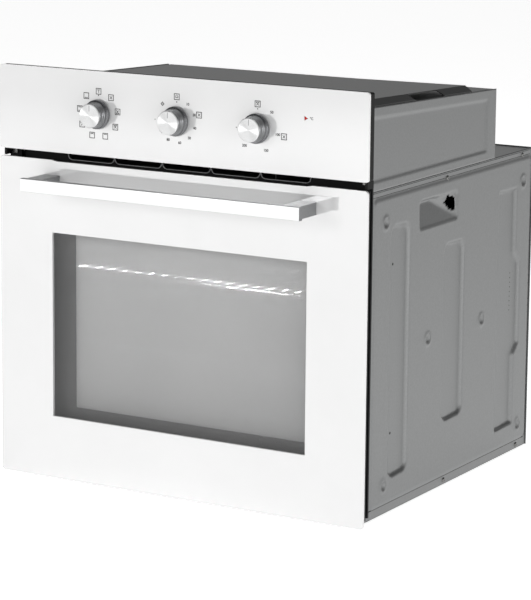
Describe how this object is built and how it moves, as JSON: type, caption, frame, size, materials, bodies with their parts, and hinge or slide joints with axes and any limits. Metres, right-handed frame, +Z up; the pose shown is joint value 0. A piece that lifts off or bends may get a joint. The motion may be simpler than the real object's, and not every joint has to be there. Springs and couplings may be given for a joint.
{
  "type": "wall oven",
  "caption": "Built-in electric wall oven: glass drop-down door with bar handle, control panel with three turning knobs, galvanised casing, enamelled cavity with rack and tray.",
  "frame": {"origin": "middle of the underside of the base, which rests on the cabinet shelf", "axes": "+X to the right seen from the front, +Y to the rear, so the front faces -Y, +Z up"},
  "size_m": [0.595, 0.608, 0.595],
  "materials": {
    "galvanised_sheet": "hot-dip galvanised steel sheet, dull spangle",
    "frame_paint": "satin dark grey powder coat",
    "white_print_glass": "toughened glass, white enamel print behind, glossy",
    "clear_glass": "clear toughened glass, glossy",
    "black_plastic": "moulded heat-resistant plastic, satin",
    "grey_enamel": "speckled grey vitreous enamel on steel, glossy",
    "brushed_aluminium": "brushed and anodised aluminium",
    "steel": "plain rolled steel",
    "heater_steel": "oxidised stainless heater sheath",
    "chrome_wire": "chrome-plated steel wire",
    "grey_plastic": "moulded plastic, satin",
    "mineral_wool": "compressed mineral wool",
    "silicone_rubber": "extruded silicone rubber",
    "red_lens": "clear red moulded lens",
    "white_ceramic": "steatite ceramic"
  },
  "bodies": {
    "casing": {"base_panel": "galvanised_sheet", "side_panel_right": "galvanised_sheet", "side_panel_left": "galvanised_sheet", "rear_panel": "galvanised_sheet", "body_top_panel": "galvanised_sheet", "upper_side_right": "galvanised_sheet", "upper_side_left": "galvanised_sheet", "upper_cover": "galvanised_sheet", "air_duct_cover": "galvanised_sheet", "front_frame": "frame_paint", "vent_grille": "black_plastic", "oven_cavity": "grey_enamel", "insulation_blanket": "mineral_wool", "door_seal": "silicone_rubber", "grill_element": "heater_steel", "bottom_element": "heater_steel", "ring_element": "heater_steel", "fan_cover": "grey_enamel", "fan_motor": "steel", "oven_lamp": "white_ceramic", "lamp_glass": "clear_glass", "thermostat_bulb": "steel", "rack_guide_right": "chrome_wire", "rack_guide_left": "chrome_wire", "control_panel_glass": "white_print_glass", "panel_carrier": "black_plastic", "signal_lamp": "red_lens", "function_bezel": "grey_plastic", "timer_bezel": "grey_plastic", "thermostat_bezel": "grey_plastic", "selector_switch": "white_ceramic", "timer_mechanism": "grey_plastic", "thermostat": "steel", "blower_housing": "galvanised_sheet", "blower_motor": "steel", "terminal_block": "black_plastic", "hinge_arm_right": "steel", "hinge_arm_left": "steel"},
    "door": {"door_outer_glass": "white_print_glass", "door_middle_glass": "clear_glass", "door_inner_glass": "clear_glass", "door_column_right": "black_plastic", "door_column_left": "black_plastic", "door_bottom_trim": "black_plastic", "door_top_trim": "black_plastic", "door_handle": "brushed_aluminium", "hinge_channel_right": "steel", "hinge_channel_left": "steel", "hinge_spring_right": "steel", "hinge_spring_left": "steel"},
    "function_control": {"function_knob": "grey_plastic", "function_knob_cap": "brushed_aluminium"},
    "timer_control": {"timer_knob": "grey_plastic", "timer_knob_cap": "brushed_aluminium"},
    "thermostat_control": {"thermostat_knob": "grey_plastic", "thermostat_knob_cap": "brushed_aluminium"},
    "fan": {"convection_fan": "steel"},
    "blower": {"blower_rotor": "brushed_aluminium"},
    "rack": {"wire_rack": "chrome_wire"},
    "tray": {"baking_tray": "grey_enamel"}
  },
  "joints": [
    {"name": "door_hinge", "type": "hinge", "parent": "casing", "child": "door", "pos_m": [0, -0.288, 0.016], "axis": [1, 0, 0], "range_deg": [0, 90], "stiffness_Nm_per_rad": 6.5, "springref_deg": -31.51},
    {"name": "function_turn", "type": "hinge", "parent": "casing", "child": "function_control", "pos_m": [-0.128, -0.3, 0.5355], "axis": [0, 1, 0], "range_deg": [0, 320]},
    {"name": "timer_turn", "type": "hinge", "parent": "casing", "child": "timer_control", "pos_m": [0, -0.3, 0.5355], "axis": [0, 1, 0], "range_deg": [-46, 236]},
    {"name": "thermostat_turn", "type": "hinge", "parent": "casing", "child": "thermostat_control", "pos_m": [0.128, -0.3, 0.5355], "axis": [0, 1, 0], "range_deg": [0, 268]},
    {"name": "fan_spin", "type": "hinge", "parent": "casing", "child": "fan", "pos_m": [0, 0.14, 0.245], "axis": [0, 1, 0], "continuous": true},
    {"name": "blower_spin", "type": "hinge", "parent": "casing", "child": "blower", "pos_m": [0, 0.022, 0.508], "axis": [1, 0, 0], "continuous": true},
    {"name": "rack_slide", "type": "slide", "parent": "casing", "child": "rack", "axis": [0, -1, 0], "range_m": [0, 0.015]},
    {"name": "tray_slide", "type": "slide", "parent": "casing", "child": "tray", "axis": [0, -1, 0], "range_m": [0, 0.015]}
  ]
}
